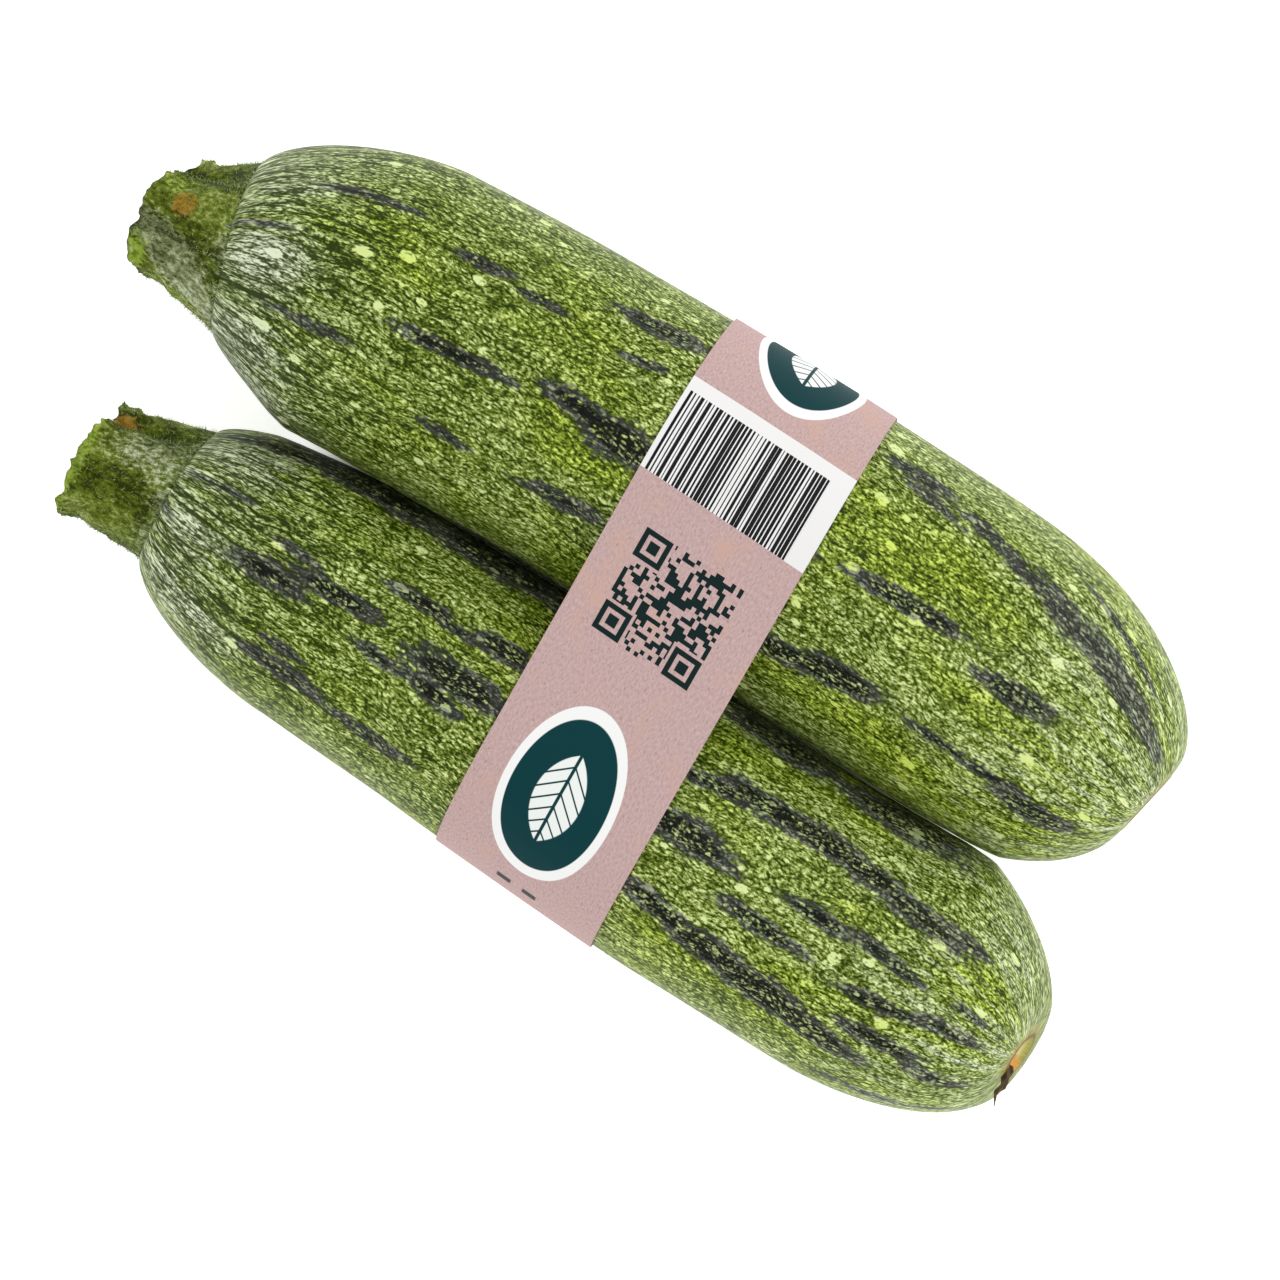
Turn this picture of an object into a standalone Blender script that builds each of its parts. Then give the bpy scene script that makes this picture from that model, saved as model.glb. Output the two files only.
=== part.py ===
"""Two courgettes lying side by side, held together by one paper band.

Metres, +Z up.  +X runs along the fruits from the stalks to the blossom ends, +Y points to the
larger fruit, and the flat underside of the band lies at z = 0.  Each fruit is one closed solid:
a short five-ridged stalk that widens towards the fruit, a round shoulder, a slightly barrelled
body and a blunt blossom end with a flat scar.  The band is one closed strip round both fruits.
"""
import math
from dataclasses import dataclass

import bmesh
import bpy

MM = 0.001

# Driving dimensions, metres.
TOUCH_GAP = 0.3 * MM        # space left between pieces that touch
BAND_WIDTH = 30.0 * MM      # along the fruits
BAND_PAPER = 0.3 * MM       # thickness of the paper
BELLY_RISE = 22.0 * MM      # length over which a belly climbs from the floor on to the band

# Fineness of the solids.
RING_POINTS = 40            # around a fruit, a multiple of the stalk's ridges
STALK_RINGS = 5
SHOULDER_RINGS = 9
BODY_RINGS = 9
BLOSSOM_RINGS = 9
BAND_SECTIONS = 5           # along the band's width
BAND_ARC_POINTS = 16        # around each fruit

# Shape constants that both fruits share.
STALK_RIDGES = 5
RIDGE_HEIGHT = 0.09         # share of the stalk's radius
NECK_DEPTH = 2.0 * MM       # how far the round shoulder starts inside the stalk's base
NECK_BLEND = 6.0            # the higher, the sharper the corner between stalk and shoulder
BLOSSOM_POWER = 2.2         # 2 is an ellipse, more is blunter
SWAY_WAVES = 0.68           # waves of sideways sway along a fruit's length
LEAN_REACH = 1.6            # stalk lengths over which the leaning stalk straightens


@dataclass(frozen=True)
class Courgette:
    """Sizes of one fruit, in metres, with distances measured from the stalk's cut end."""
    name: str
    length: float           # cut end to blossom scar
    girth: float            # widest diameter
    widest: float           # distance to the widest place
    barrel: float           # share of the radius lost half a length away from there
    stalk_length: float
    stalk_base: float       # width where the stalk meets the shoulder
    stalk_cut: float        # width of the cut end
    stalk_lean: float       # how far the cut end leans towards +Y
    cut_slant: float        # how much longer the stalk is on its +Y side
    shoulder_length: float
    blossom_length: float   # length of the rounded blossom end
    scar_width: float
    band_place: float       # distance to the middle of the band
    bow: float              # sideways arch, away from +Y, 100 mm from its apex
    bow_apex: float         # distance to the apex of the arch
    sway: float             # sideways S, towards +Y at the stalk and away at the blossom
    skin: tuple             # base colour


LARGE = Courgette(
    name="large_courgette", length=184.5 * MM, girth=50.8 * MM, widest=100 * MM, barrel=0.045,
    stalk_length=13.5 * MM, stalk_base=28 * MM, stalk_cut=18.5 * MM, stalk_lean=-7.2 * MM,
    cut_slant=5 * MM, shoulder_length=30 * MM, blossom_length=37 * MM, scar_width=12 * MM,
    band_place=104.5 * MM, bow=4.0 * MM, bow_apex=69 * MM, sway=0.0, skin=(0.10, 0.19, 0.03))

SMALL = Courgette(
    name="small_courgette", length=179 * MM, girth=45.4 * MM, widest=136 * MM, barrel=0.075,
    stalk_length=17 * MM, stalk_base=25.5 * MM, stalk_cut=19 * MM, stalk_lean=-0.5 * MM,
    cut_slant=1 * MM, shoulder_length=19 * MM, blossom_length=34 * MM, scar_width=12 * MM,
    band_place=96.0 * MM, bow=-0.9 * MM, bow_apex=90 * MM, sway=2.6 * MM, skin=(0.09, 0.17, 0.03))

PAPER_COLOUR = (0.56, 0.37, 0.33)


def smooth(t):
    """0 below t = 0, 1 above t = 1, and a soft step between."""
    t = min(max(t, 0.0), 1.0)
    return t * t * (3.0 - 2.0 * t)


# ---- one fruit -------------------------------------------------------------------------------

def body_radius(fruit, s):
    """Radius of the barrelled body, as if it had no ends."""
    away = (s - fruit.widest) / (fruit.length / 2)
    return fruit.girth / 2 * (1.0 - fruit.barrel * away * away)


def stalk_radius(fruit, s):
    """Radius of the stalk, which widens evenly from the cut to the shoulder."""
    along = min(s / fruit.stalk_length, 1.0)
    return (fruit.stalk_cut + (fruit.stalk_base - fruit.stalk_cut) * along) / 2


def shoulder_start(fruit):
    """Where the round shoulder's own outline starts, a little inside the stalk."""
    return fruit.stalk_length - NECK_DEPTH


def radius(fruit, s):
    """Mean radius of the fruit at a distance s from the cut end."""
    along = min(max((s - shoulder_start(fruit)) / fruit.shoulder_length, 0.0), 1.0)
    shoulder = body_radius(fruit, s) * math.sqrt(1.0 - (1.0 - along) ** 2)
    stalk = stalk_radius(fruit, s) * (1.0 - smooth(along))
    swollen = (shoulder ** NECK_BLEND + stalk ** NECK_BLEND) ** (1.0 / NECK_BLEND)
    tip = min(max((s - fruit.length + fruit.blossom_length) / fruit.blossom_length, 0.0), 1.0)
    scar = fruit.scar_width / fruit.girth
    return swollen * (scar + (1.0 - scar) * math.sqrt(1.0 - tip ** BLOSSOM_POWER))


def side_place(fruit, s):
    """Sideways place of the centreline, before the fruit is put against its neighbour."""
    arch = -fruit.bow * ((s - fruit.bow_apex) / (100 * MM)) ** 2
    wave = -fruit.sway * math.sin(2 * math.pi * SWAY_WAVES * (s - fruit.band_place) / fruit.length)
    lean = fruit.stalk_lean * max(1.0 - s / (LEAN_REACH * fruit.stalk_length), 0.0) ** 1.5
    return arch + wave + lean


def height_place(fruit, s):
    """Height of the centreline: the belly lies on the floor, and on the band inside the band."""
    from_band = abs(s - fruit.band_place) - BAND_WIDTH / 2
    on_band = 1.0 - smooth((from_band - 3 * MM) / BELLY_RISE)
    return body_radius(fruit, s) + (TOUCH_GAP + BAND_PAPER) * on_band


def stations(fruit):
    """Distances of the rings: close together where the outline turns."""
    shoulder_end = shoulder_start(fruit) + fruit.shoulder_length
    blossom_start = fruit.length - fruit.blossom_length
    out = [fruit.stalk_length * i / STALK_RINGS for i in range(STALK_RINGS)]
    for i in range(SHOULDER_RINGS):
        turn = 1.0 - math.cos(math.pi / 2 * i / SHOULDER_RINGS)
        out.append(fruit.stalk_length + (shoulder_end - fruit.stalk_length) * turn)
    out += [shoulder_end + (blossom_start - shoulder_end) * i / BODY_RINGS for i in range(BODY_RINGS)]
    for i in range(BLOSSOM_RINGS + 1):
        turn = math.sin(math.pi / 2 * i / BLOSSOM_RINGS)
        out.append(blossom_start + fruit.blossom_length * turn)
    return out


def sideways_offset():
    """How far -Y the small fruit moves so that it just clears the large one."""
    need = 0.0
    first = max(-LARGE.band_place, -SMALL.band_place)
    last = min(LARGE.length - LARGE.band_place, SMALL.length - SMALL.band_place)
    steps = 120
    for i in range(steps + 1):
        x = first + (last - first) * i / steps
        s_large = x + LARGE.band_place
        s_small = x + SMALL.band_place
        reach = radius(LARGE, s_large) + radius(SMALL, s_small) + TOUCH_GAP
        rise = height_place(LARGE, s_large) - height_place(SMALL, s_small)
        apart = math.sqrt(max(reach * reach - rise * rise, 0.0))
        need = max(need, apart - side_place(LARGE, s_large) + side_place(SMALL, s_small))
    return -need


def centre(fruit, s):
    """Centreline point (x, y, z); the band's middle is at x = 0."""
    y = side_place(fruit, s)
    if fruit is SMALL:
        y += sideways_offset()
    return s - fruit.band_place, y, height_place(fruit, s)


def ring(bm, fruit, s):
    """One closed ring of vertices, ridged on the stalk and round on the body."""
    x, y, z = centre(fruit, s)
    mean = radius(fruit, s)
    towards_cut = 1.0 - smooth(s / (1.5 * fruit.stalk_length))
    verts = []
    for k in range(RING_POINTS):
        turn = 2 * math.pi * k / RING_POINTS
        r = mean * (1.0 + RIDGE_HEIGHT * towards_cut * math.cos(STALK_RIDGES * turn))
        slant = -fruit.cut_slant / 2 * towards_cut * math.cos(turn)
        verts.append(bm.verts.new((x + slant, y + r * math.cos(turn), z + r * math.sin(turn))))
    return verts


def bridge(bm, first, second):
    """Quads between two rings of the same count."""
    count = len(first)
    for k in range(count):
        after = (k + 1) % count
        bm.faces.new((first[k], first[after], second[after], second[k]))


def make_courgette(fruit):
    """The whole fruit: one skin lofted along the centreline, with a cut end and a scar."""
    bm = bmesh.new()
    rings = [ring(bm, fruit, s) for s in stations(fruit)]
    for first, second in zip(rings, rings[1:]):
        bridge(bm, first, second)
    bm.faces.new(rings[0])
    bm.faces.new(rings[-1])
    return finish(bm, fruit.name, fruit.skin, roughness=0.35)


# ---- the band --------------------------------------------------------------------------------

def band_outline(x, allowance):
    """Points (y, z) of a tight wrap round both fruits, kept the allowance off their skins."""
    s_large = x + LARGE.band_place
    s_small = x + SMALL.band_place
    _, large_y, large_z = centre(LARGE, s_large)
    _, small_y, small_z = centre(SMALL, s_small)
    tilt = math.atan2(large_z - small_z, large_y - small_y)
    under = -math.pi / 2
    over = math.pi / 2 + 2 * tilt
    arcs = ((large_y, large_z, radius(LARGE, s_large), under, over),
            (small_y, small_z, radius(SMALL, s_small), over, under + 2 * math.pi))
    points = []
    for y, z, r, start, end in arcs:
        step = (end - start) / BAND_ARC_POINTS
        reach = (r + allowance) / math.cos(step / 2)
        for k in range(BAND_ARC_POINTS):
            turn = start + (k + 0.5) * step
            points.append((y + reach * math.cos(turn), z + reach * math.sin(turn)))
    return points


def make_band():
    """The paper strip, glued into a loop: an outer and an inner skin joined at both edges."""
    bm = bmesh.new()
    inner = []
    outer = []
    for i in range(BAND_SECTIONS):
        x = BAND_WIDTH * (i / (BAND_SECTIONS - 1) - 0.5)
        for rings, allowance in ((inner, TOUCH_GAP), (outer, TOUCH_GAP + BAND_PAPER)):
            rings.append([bm.verts.new((x, y, z)) for y, z in band_outline(x, allowance)])
    for rings in (inner, outer):
        for first, second in zip(rings, rings[1:]):
            bridge(bm, first, second)
    bridge(bm, inner[0], outer[0])
    bridge(bm, inner[-1], outer[-1])
    return finish(bm, "paper_band", PAPER_COLOUR, roughness=0.85)


# ---- objects ---------------------------------------------------------------------------------

def finish(bm, name, colour, roughness):
    """Turn a bmesh into a named object with its own material."""
    bmesh.ops.recalc_face_normals(bm, faces=bm.faces)
    mesh = bpy.data.meshes.new(name)
    bm.to_mesh(mesh)
    bm.free()
    material = bpy.data.materials.new(name + "_surface")
    material.use_nodes = True
    shader = material.node_tree.nodes["Principled BSDF"]
    shader.inputs["Base Color"].default_value = (*colour, 1.0)
    shader.inputs["Roughness"].default_value = roughness
    mesh.materials.append(material)
    mesh.shade_smooth()
    mesh.set_sharp_from_angle(angle=math.radians(40))
    obj = bpy.data.objects.new(name, mesh)
    bpy.context.scene.collection.objects.link(obj)
    return obj


def centre_on_floor(objects):
    """Slide everything together so that the origin is the bottom centre of the whole."""
    corners = [v.co for obj in objects for v in obj.data.vertices]
    middle_x = (min(c.x for c in corners) + max(c.x for c in corners)) / 2
    middle_y = (min(c.y for c in corners) + max(c.y for c in corners)) / 2
    for obj in objects:
        for v in obj.data.vertices:
            v.co.x -= middle_x
            v.co.y -= middle_y


def main():
    for obj in list(bpy.data.objects):
        bpy.data.objects.remove(obj, do_unlink=True)
    centre_on_floor([make_courgette(LARGE), make_courgette(SMALL), make_band()])


main()
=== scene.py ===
"""Looks of the banded pair of courgettes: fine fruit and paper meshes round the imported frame.

Each fruit is one closed loft that follows its CAD solid: rough cut stalk, neck, body and blossom
scar.  The skin pattern lives on a grown coordinate, millimetres along the skin and round an even
cylinder, so the flecks draw out into streaks where the fruit narrows.  The band is one real strip
of paper with a glued lap underneath, and its print is laid out in millimetres along the strip.
"""
import math

import bmesh
import bpy
import numpy as np
from mathutils import Matrix, Vector, noise


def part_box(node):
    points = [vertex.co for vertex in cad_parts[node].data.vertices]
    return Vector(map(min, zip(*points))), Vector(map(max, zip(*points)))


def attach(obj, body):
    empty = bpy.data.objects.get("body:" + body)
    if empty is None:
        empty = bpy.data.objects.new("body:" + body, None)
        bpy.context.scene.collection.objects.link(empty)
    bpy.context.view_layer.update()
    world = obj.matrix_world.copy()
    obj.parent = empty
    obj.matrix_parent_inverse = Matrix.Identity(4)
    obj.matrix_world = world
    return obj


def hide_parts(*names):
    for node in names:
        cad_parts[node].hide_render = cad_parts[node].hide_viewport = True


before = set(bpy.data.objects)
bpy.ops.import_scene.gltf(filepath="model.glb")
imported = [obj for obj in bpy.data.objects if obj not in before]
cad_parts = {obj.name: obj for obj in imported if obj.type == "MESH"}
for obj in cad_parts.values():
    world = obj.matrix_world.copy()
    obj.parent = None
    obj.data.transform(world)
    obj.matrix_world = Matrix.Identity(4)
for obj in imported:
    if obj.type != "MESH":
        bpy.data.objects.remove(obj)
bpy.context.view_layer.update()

MM = 0.001
ROOT = "root"

# Meshes: fineness of the fruits and of the strip.
ROUND_POINTS = 216          # round a fruit
ALONG_STEP = 0.62 * MM      # between rings of the body
STALK_STEP = 0.3 * MM       # between rings of a stalk
CUT_RINGS = 14              # over the cut face of a stalk
SCAR_RINGS = 10             # over a blossom scar

SCAR_BEND = 28.0 * MM       # length over which the blossom end bends to its scar

# Where the fruits lean together their facing sides stay full.
CHEEK_FROM = -78.0 * MM
CHEEK_TO = 92.0 * MM
CHEEK_FADE = 24.0 * MM
CHEEK_CLEAR = 0.22 * MM     # left on each side of the gap
CHEEK_TOUCH = 0.12 * MM     # and never less than this, where a cheek is tucked in further
CHEEK_MOST = 1.8 * MM
CHEEK_SPREAD = 0.85         # radians round the fruit
TUCKS = ((-36 * MM, -44 * MM, 0.55 * MM), (54 * MM, 62 * MM, 0.35 * MM))  # from, full at, depth
BAND_CLEAR = 2 * MM         # beside the band the skins stay even
BAND_EASE = 14 * MM         # and become uneven over this length

# The stalks: bumps as (mm, cells per mm along, cells per turn), and the cut face.
STALK_BUMPS = ((0.9, 0.30, 2.6), (0.55, 0.75, 6.5), (0.30, 1.6, 14.0))
CUT_SINK = 2.2 * MM
CUT_FIBRE = 0.35 * MM

# The blossom scar's dish, rim and wrinkles.
SCAR_DISH = 0.8 * MM
SCAR_RIM = 0.25 * MM
SCAR_WRINKLE = 0.16 * MM

# The strip of paper.
PAPER = 0.26 * MM
SKIN_GAP = 0.30 * MM        # between the skins and the paper
LAP = 14.0 * MM             # glued overlap under the fruits
LAP_EASE = 8.0 * MM         # length over which the inner end comes down beside the lap
LAP_GLUE = 0.04 * MM        # glue between the two ends
EDGE_CURL = 0.10 * MM       # wave of the paper at its long edges
TANGENT_REACH = 0.4 * MM    # each way, when the strip's direction is measured
STRIP_STEP = 0.6 * MM
STRIP_ACROSS = 20

# The camera looks almost straight down, turned so that the fruits lie across the frame.
CAMERA_TARGET = Vector((0.0092, -0.0024, 0.026))
CAMERA_DISTANCE = 0.70
CAMERA_TILT_X = math.radians(2.86)
CAMERA_TILT_Y = math.radians(1.72)
CAMERA_ROLL = math.radians(30.2)
CAMERA_LENS = 123.3


def smooth(t):
    """0 below t = 0, 1 above t = 1, and a soft step between; numbers or arrays."""
    t = np.clip(t, 0.0, 1.0)
    return t * t * (3.0 - 2.0 * t)


def linear(red, green, blue):
    """Linear colour from 0..255 display values."""
    def one(value):
        value = value / 255.0
        return value / 12.92 if value <= 0.04045 else ((value + 0.055) / 1.055) ** 2.4
    return (one(red), one(green), one(blue), 1.0)


# ---- the fruits' outlines, read from the frame ------------------------------------------------

class Outline:
    """Centre and radius of a fruit at any x, from the round rings of its CAD solid."""

    def __init__(self, node):
        places = np.array([v.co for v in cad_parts[node].data.vertices])
        rings = []
        for x in np.unique(np.round(places[:, 0], 6)):
            ring = places[np.abs(places[:, 0] - x) < 1e-6]
            low = ring.min(axis=0)
            high = ring.max(axis=0)
            spread = high - low
            is_round = abs(spread[1] - spread[2]) < 0.02 * MM and spread[1] > 11 * MM
            if len(ring) >= 36 and is_round:
                rings.append((x, (low[1] + high[1]) / 2, (low[2] + high[2]) / 2, spread[1] / 2))
        self.rings = np.array(rings)
        self.cut_x = places[:, 0].min()
        self.tip_x = places[:, 0].max()
        cut_ring = places[places[:, 0] < self.cut_x + 8 * MM]
        self.cut_z = (cut_ring[:, 2].min() + cut_ring[:, 2].max()) / 2

    def at_x(self, x):
        """(y, z, radius) at x, between the first and the last round ring."""
        return tuple(np.interp(x, self.rings[:, 0], self.rings[:, k]) for k in (1, 2, 3))


def curve_through(points, per_span):
    """Catmull-Rom curve through points, as an array of points."""
    points = np.asarray(points, dtype=float)
    padded = np.vstack([2 * points[0] - points[1], points, 2 * points[-1] - points[-2]])
    out = []
    for k in range(1, len(padded) - 2):
        a, b, c, d = padded[k - 1:k + 3]
        for i in range(per_span):
            t = i / per_span
            out.append(0.5 * (2 * b + (c - a) * t + (2 * a - 5 * b + 4 * c - d) * t * t
                              + (3 * b - a - 3 * c + d) * t ** 3))
    out.append(points[-1])
    return np.array(out)


def evenly(points, step):
    """The same curve with its points a step apart, measured over x and the radius."""
    moves = np.diff(points, axis=0)
    reach = np.concatenate([[0.0], np.cumsum(np.hypot(moves[:, 0], moves[:, 3]))])
    count = max(int(reach[-1] / step), 2)
    wanted = np.linspace(0.0, reach[-1], count + 1)
    return np.column_stack([np.interp(wanted, reach, points[:, k]) for k in range(4)])


# ---- fruit meshes -----------------------------------------------------------------------------

class Fruit:
    """What is special to one fruit beyond its CAD outline."""

    def __init__(self, node, seed, stalk_length, cut_radius, cut_side, cut_hollow, neck_radius,
                 neck_side, neck_tilt, shoulder_reach, shoulder_power, ridge_turn, scar_radius,
                 scar_side, scar_turn, scar_lift, marks):
        self.node = node
        self.seed = seed
        self.stalk_length = stalk_length        # from the cut to the neck
        self.cut_radius = cut_radius
        self.cut_side = cut_side                # middle of the cut beside the neck's, along Y
        self.cut_hollow = cut_hollow            # how far the cut's rim draws back at its sides
        self.neck_radius = neck_radius
        self.neck_side = neck_side              # middle of the neck beside the first round ring's
        self.neck_tilt = neck_tilt              # the neck starts this much earlier on its +Y side
        self.shoulder_reach = shoulder_reach    # from the cut to the end of the shoulder
        self.shoulder_power = shoulder_power    # 1 is a cone, 2 a round shoulder
        self.ridge_turn = math.radians(ridge_turn)  # where one of the five stalk ridges runs
        self.scar_radius = scar_radius
        self.scar_side = scar_side              # scar off the axis, along Y
        self.scar_turn = scar_turn              # slope of the scar, facing towards -Y
        self.scar_lift = scar_lift              # slope of the scar, facing upwards
        self.marks = marks                      # lists of marks by the name of their attribute
        self.outline = Outline(node)
        self.neighbour = None                   # the other fruit's outline


# Marks on the skins: mm from the stalk's cut, degrees round (0 towards +Y, 90 on
# top), half length and half width in mm, slope round the fruit, and how deep the colour is.
LARGE_STREAKS = [
    (20, 78, 8, 1.0, -0.05, 0.85), (36, 110, 11, 1.0, -0.05, 0.85), (33, 53, 10, 1.0, 0.0, 1.0),
    (57, 94, 11, 1.2, -0.06, 1.15), (55, 59, 6, 1.1, -0.1, 1.0), (65, 61, 5, 1.0, -0.1, 1.0),
    (62, 122, 6, 1.0, 0.1, 0.95), (84, 45, 9, 1.9, -0.1, 1.05), (84, 62, 5, 0.8, -0.2, 1.0),
    (79, 88, 7, 1.6, 0.05, 1.1), (88, 91, 9, 3.0, 0.05, 1.2), (84, 121, 8, 1.5, -0.1, 1.0),
    (124, 127, 9, 2.1, -0.15, 1.15), (134, 123, 9, 2.6, -0.1, 1.2), (130, 40, 8, 1.7, 0.0, 0.95),
    (134, 47, 6, 1.2, 0.2, 0.95), (144, 45, 7, 1.5, 0.15, 0.95), (139, 86, 11, 1.6, -0.05, 1.2),
    (160, 92, 7, 2.0, -0.03, 1.2), (157, 53, 10, 2.8, 0.2, 0.9), (168, 58, 11, 3.4, 0.15, 0.9),
    (178, 63, 9, 3.4, 0.1, 0.9), (170, 41, 10, 1.0, 0.3, 1.0), (153, 123, 8, 1.0, 0.0, 1.05),
    (162, 124, 8, 1.0, 0.0, 1.0), (171, 130, 8, 2.4, 0.15, 1.15), (112, 90, 9, 1.8, 0.0, 1.1),
]
# The wide marks at about 20 degrees, on the small fruit's upper side towards the large one, are
# painted shade of the valley between the fruits; the rest are the skin's own streaks.
SMALL_STREAKS_AND_VALLEY_SHADE = [
    (16, 96, 4, 1.8, 0.0, 0.9), (24, 66, 7, 0.9, 0.0, 0.95), (38, 90, 8, 2.1, -0.05, 1.05),
    (41, 75, 5, 0.9, 0.0, 1.0), (50, 82, 8, 1.6, -0.02, 1.2), (47, 125, 9, 1.7, 0.03, 1.0),
    (46, 115, 5, 0.8, 0.0, 1.0), (65, 129, 8, 1.5, 0.0, 1.0), (60, 95, 5, 1.2, 0.1, 1.0),
    (62, 65, 7, 1.4, -0.03, 1.1), (69, 67, 5, 1.0, 0.0, 1.0), (73, 85, 9, 2.7, -0.02, 1.2),
    (71, 95, 6, 1.6, 0.1, 1.1), (77, 63, 6, 2.0, -0.05, 1.15), (28, 22, 9, 2.4, 0.0, 1.1),
    (46, 20, 13, 4.4, 0.0, 1.15), (68, 20, 13, 4.8, 0.0, 1.15), (86, 22, 9, 4.2, 0.0, 1.1),
    (122, 20, 12, 4.0, 0.0, 1.1), (144, 24, 12, 3.6, 0.05, 1.1), (116, 85, 9, 2.5, 0.02, 1.2),
    (116, 62, 8, 1.4, -0.1, 1.1), (125, 57, 9, 2.2, 0.0, 1.15), (135, 57, 9, 2.4, 0.0, 1.15),
    (144, 59, 8, 2.0, 0.05, 1.1), (154, 63, 9, 2.1, 0.05, 1.1), (161, 61, 6, 1.4, -0.05, 1.0),
    (133, 100, 8, 1.6, 0.03, 1.15), (140, 85, 7, 1.4, 0.0, 1.1), (153, 85, 8, 1.1, 0.15, 1.15),
    (118, 117, 8, 1.9, 0.1, 1.15), (128, 121, 9, 2.5, 0.08, 1.2), (138, 125, 10, 3.0, 0.08, 1.2),
    (148, 129, 9, 2.2, 0.1, 1.2), (155, 103, 9, 1.2, -0.08, 1.1), (166, 99, 7, 1.4, -0.08, 1.0),
    (158, 118, 8, 1.6, 0.05, 1.1), (168, 126, 6, 1.4, 0.15, 1.0), (168, 87, 4, 1.1, 0.0, 1.0),
]
LARGE_CORKS = [(7.5, 76, 2.2, 4.6, 0.2, 1.0)]
SMALL_CORKS = [(3.8, 26, 3.0, 4.0, 0.2, 1.0), (179, 165, 5.0, 34.0, 0.0, 1.0)]

# Whitish bloom and down, partly a painted sheen on the shoulders, and lime tissue laid bare, in
# the same terms.
LARGE_FROST_AND_SHEEN = [(9, 118, 10, 8, 0.8, 1.0), (24, 94, 8, 7, 0.0, 1.0), (26, 138, 10, 8, 0.0, 1.0),
               (22, 55, 7, 4, 0.0, 0.7), (30, 160, 12, 7, 0.0, 0.9)]
SMALL_FROST_AND_SHEEN = [(13, 62, 9, 9, 0.0, 0.6), (25, 44, 9, 7, 0.0, 0.9), (23, 96, 8, 6, 0.0, 0.9),
               (27, 128, 11, 7, 0.0, 0.9)]
LARGE_LIME = [(13, 166, 9, 8, 0.0, 0.9), (3, 140, 2.5, 9, 0.0, 1.0), (4, 60, 2.5, 4, 0.0, 0.6)]
SMALL_LIME = [(1.0, 95, 1.6, 24, 0.0, 0.9)]


class Surface:
    """Rings of points with what each point knows of the pattern and of its zone."""

    def __init__(self, fruit):
        self.fruit = fruit
        self.turn = 2 * math.pi * np.arange(ROUND_POINTS) / ROUND_POINTS
        self.cos = np.cos(self.turn)
        self.sin = np.sin(self.turn)
        self.round = known_radius(fruit) / MM
        self.seed = Vector((fruit.seed * 7.3, fruit.seed * 3.1, fruit.seed * 5.7))
        self.ridges = 0.5 + 0.5 * np.cos(5 * (self.turn - fruit.ridge_turn))
        self.coords = []
        self.grown = []
        self.masks = {"cut": [], "scar": [], "ridge": [], "neck": []}

    def noise(self, x, along_scale, round_scale):
        """Smooth noise, about -1..1, on one ring; the scales are cells per mm and per turn."""
        return np.array([noise.noise(Vector((x / MM * along_scale, c * round_scale,
                                             s * round_scale)) + self.seed)
                         for c, s in zip(self.cos, self.sin)])

    def add(self, xs, ys, zs, along, cut=0.0, scar=0.0):
        """One ring of points; along is their distance over the skin from the neck."""
        ones = np.ones(ROUND_POINTS)
        along = along / MM * ones
        self.coords.append(np.column_stack([xs * ones, ys * ones, zs * ones]))
        self.grown.append(np.column_stack([along, self.round * self.cos, self.round * self.sin]))
        for name, value in (("cut", cut), ("scar", scar), ("ridge", self.ridges), ("neck", along)):
            self.masks[name].append(value * ones)


def neck_ring(surface):
    """The tilted ring where the stalk joins the body: arrays x, y, z."""
    fruit = surface.fruit
    _, first_y, first_z, _ = fruit.outline.rings[0]
    xs = fruit.outline.cut_x + fruit.stalk_length - fruit.neck_tilt * surface.cos
    lobed = fruit.neck_radius * (1.0 + 0.03 * (2 * surface.ridges - 1))
    ys = first_y + fruit.neck_side + lobed * surface.cos
    zs = first_z + lobed * surface.sin
    return xs, ys, zs


def add_stalk(surface, neck):
    """Cut face and stalk: five round ridges with sharp grooves, rough tissue and a torn rim."""
    fruit = surface.fruit
    _, first_y, first_z, _ = fruit.outline.rings[0]
    middle_y = first_y + fruit.neck_side + fruit.cut_side
    middle_z = (first_z + fruit.outline.cut_z) / 2
    lobes = np.abs(np.cos(2.5 * (surface.turn - fruit.ridge_turn))) ** 0.7 - 0.78
    torn = surface.noise(4 * MM, 1.0, 2.2) * 1.3 * MM + surface.noise(9 * MM, 1.0, 8.0) * 0.9 * MM
    rim_x = fruit.outline.cut_x + 0.9 * MM + fruit.cut_hollow * surface.cos ** 2 + torn
    count = int(fruit.stalk_length / STALK_STEP)
    rings = []
    for i in range(count + 1):
        t = i / count
        rough = sum(size * surface.noise(t * fruit.stalk_length, along, turns)
                    for size, along, turns in STALK_BUMPS) * MM * (1 - t ** 3)
        flare = t ** 1.3
        radius = fruit.cut_radius * (1.0 + 0.30 * lobes) * (1.0 + 0.05 * (1 - t) ** 6) + rough
        ys = middle_y + radius * surface.cos
        zs = middle_z + radius * surface.sin
        groove = 1.0 + 0.5 * lobes * flare * (1 - t)
        rings.append((rim_x + (neck[0] - rim_x) * t,
                      ys + (neck[1] - middle_y) * flare * groove - (ys - middle_y) * flare,
                      zs + (neck[2] - middle_z) * flare * groove - (zs - middle_z) * flare))
    for i in range(CUT_RINGS):
        share = (i + 0.35) / CUT_RINGS
        sink = CUT_SINK * (1.0 - share ** 3)
        fibre = CUT_FIBRE * math.sin(9.0 * share * math.pi) * share
        xs, ys, zs = rings[0]
        middle_x = float(xs.mean())
        surface.add(middle_x + (xs - middle_x) * share + sink + fibre,
                    middle_y + (ys - middle_y) * share, middle_z + (zs - middle_z) * share,
                    -fruit.stalk_length - fruit.cut_radius * (1 - share), cut=1.0)
    for i, (xs, ys, zs) in enumerate(rings[:-1]):
        surface.add(xs, ys, zs, -fruit.stalk_length * (1 - i / count))


def band_span():
    """Middle and half width of the paper band along X."""
    low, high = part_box("paper_band")
    return (low[0] + high[0]) / 2, (high[0] - low[0]) / 2


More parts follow.
